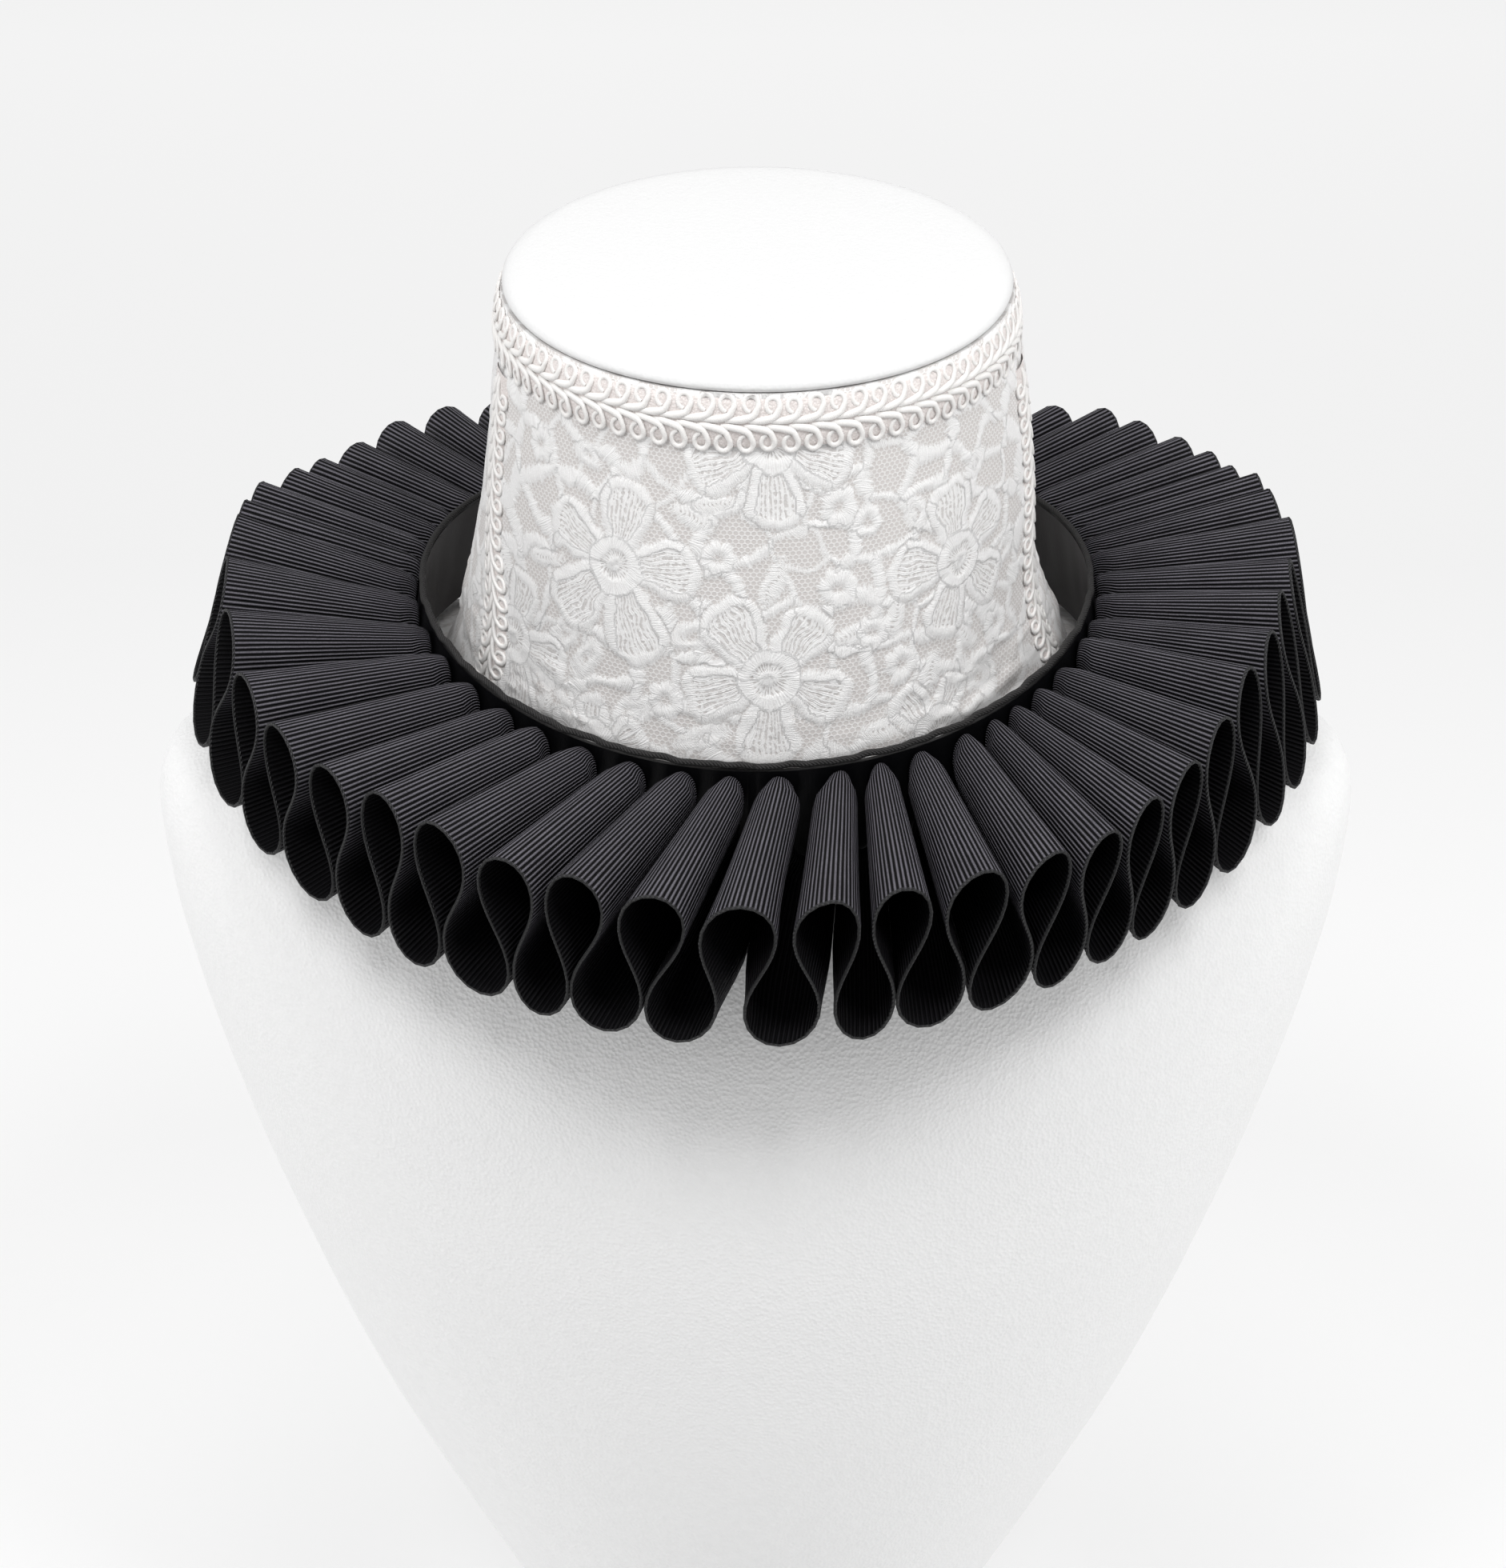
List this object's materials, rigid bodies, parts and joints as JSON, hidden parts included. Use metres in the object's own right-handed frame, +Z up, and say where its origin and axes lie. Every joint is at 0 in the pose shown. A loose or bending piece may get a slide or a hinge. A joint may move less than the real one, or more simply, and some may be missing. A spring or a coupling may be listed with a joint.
{
  "type": "ruff collar on display bust",
  "caption": "Pleated black ribbon ruff with a white lace neckpiece and braid edge, shown on a smooth limbless display bust.",
  "frame": {"origin": "middle of the flat underside of the bust", "axes": "+Z up the neck, -Y the front of the collar, +X the wearer's left"},
  "size_m": [0.308, 0.2644, 0.4405],
  "materials": {
    "bust_cover": "white grained leatherette, slightly glossy",
    "lace": "white embroidered lace over a smooth lining",
    "gimp_braid": "glossy looped cord",
    "satin": "black satin",
    "grosgrain": "ribbed matt ribbon"
  },
  "bodies": {
    "root": {"display_bust": "bust_cover", "lace_front": "lace", "lace_back": "lace", "braid_neck_edge": "gimp_braid", "braid_side_left": "gimp_braid", "braid_side_right": "gimp_braid", "neckband": "satin", "neckband_binding": "grosgrain", "ruff_ribbon": "grosgrain"}
  },
  "joints": []
}
